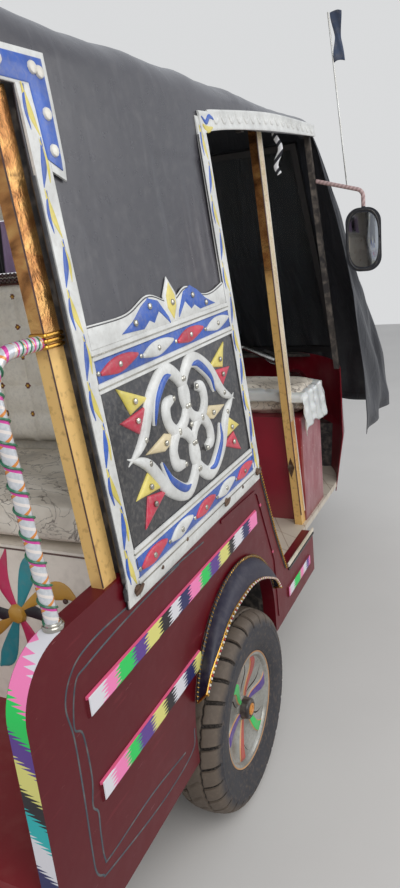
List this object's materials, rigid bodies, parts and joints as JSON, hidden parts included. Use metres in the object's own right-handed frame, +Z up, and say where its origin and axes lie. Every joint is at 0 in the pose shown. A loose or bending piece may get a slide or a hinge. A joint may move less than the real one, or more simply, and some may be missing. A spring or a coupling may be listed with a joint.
{
  "type": "auto rickshaw",
  "caption": "Three-wheeled auto rickshaw with a maroon body, decorated vinyl canopy, rear-facing and forward benches and a sheet hung over its nose.",
  "frame": {"origin": "on the ground, under the middle of the vehicle's length and width", "axes": "+Z up, -Y towards the front, -X towards the vehicle's right side"},
  "size_m": [1.644, 3.1306, 2.3602],
  "materials": {
    "maroon_paint": "glossy maroon enamel, dusty and scuffed",
    "floor_paint": "worn dark red floor paint",
    "floor_tile": "pale printed floor sheet",
    "black_vinyl": "glossy black canopy vinyl over a frame",
    "navy_vinyl": "navy vinyl flare with a beaded edge",
    "cream_vinyl": "cream tufted vinyl",
    "marble_vinyl": "marble print seat vinyl",
    "board_print": "laminated board with bright petals",
    "curtain_cloth": "lavender cloth",
    "clear_cover": "milky plastic cover",
    "gold_foil": "gold mirror foil on steel posts",
    "wrapped_tube": "steel tube wrapped in bright tape",
    "frame_paint": "black frame paint, dusty",
    "axle_paint": "black axle paint, dusty",
    "engine_metal": "cast engine cases, oily",
    "exhaust_metal": "rusty exhaust steel",
    "lamp_red": "red lamp lens",
    "lamp_clear": "clear headlamp",
    "screen_glass": "clear windscreen",
    "sheet_cloth": "black cloth sheet",
    "mirror_black": "black mirror shell and arm",
    "antenna_steel": "thin steel whip",
    "streamer_cloth": "faded blue-grey cloth strip",
    "bar_chrome": "chromed handlebar",
    "tyre_rubber": "dusty black tyre",
    "rim_silver": "silver wheel with painted ribs"
  },
  "bodies": {
    "body": {"side_panel_right": "maroon_paint", "side_panel_left": "maroon_paint", "wheel_flares": "navy_vinyl", "wheel_tubs": "frame_paint", "rear_floor": "floor_paint", "cabin_floor": "floor_tile", "tail_panel": "maroon_paint", "tail_lamps": "lamp_red", "bench_base": "board_print", "partition": "cream_vinyl", "curtain": "curtain_cloth", "rear_cushion": "marble_vinyl", "rear_backrest": "cream_vinyl", "middle_cushion": "marble_vinyl", "middle_backrest": "cream_vinyl", "front_bench_box": "maroon_paint", "front_cushion": "marble_vinyl", "seat_cover": "clear_cover", "canopy_roof": "black_vinyl", "canopy_side_right": "black_vinyl", "canopy_side_left": "black_vinyl", "canopy_hoops": "frame_paint", "gold_posts": "gold_foil", "guard_rails": "wrapped_tube", "front_cowl": "maroon_paint", "headlamps": "lamp_clear", "nose_shelf": "frame_paint", "dashboard": "frame_paint", "windscreen_frame": "frame_paint", "windscreen_glass": "screen_glass", "rain_sheet": "sheet_cloth", "mirrors": "mirror_black", "antenna": "antenna_steel", "streamer": "streamer_cloth", "chassis_frame": "frame_paint", "leaf_springs": "axle_paint", "rear_axle": "axle_paint", "engine_block": "engine_metal", "propeller_shaft": "axle_paint", "exhaust": "exhaust_metal"},
    "steering": {"fork": "frame_paint", "handlebar": "bar_chrome", "front_mudguard": "maroon_paint"},
    "front_wheel": {"front_tyre": "tyre_rubber", "front_rim": "rim_silver"},
    "rear_right_wheel": {"rear_right_tyre": "tyre_rubber", "rear_right_rim": "rim_silver"},
    "rear_left_wheel": {"rear_left_tyre": "tyre_rubber", "rear_left_rim": "rim_silver"}
  },
  "joints": [
    {"name": "steering", "type": "hinge", "parent": "body", "child": "steering", "pos_m": [0, -1.21716, 0.27232], "axis": [0, 0.342, 0.9397], "range_deg": [-35, 35]},
    {"name": "front_wheel_spin", "type": "hinge", "parent": "steering", "child": "front_wheel", "pos_m": [0, -1.25475, 0.286], "axis": [1, 0, 0], "continuous": true},
    {"name": "rear_right_wheel_spin", "type": "hinge", "parent": "body", "child": "rear_right_wheel", "pos_m": [-0.603, 0.69525, 0.286], "axis": [1, 0, 0], "continuous": true},
    {"name": "rear_left_wheel_spin", "type": "hinge", "parent": "body", "child": "rear_left_wheel", "pos_m": [0.603, 0.69525, 0.286], "axis": [1, 0, 0], "continuous": true}
  ]
}
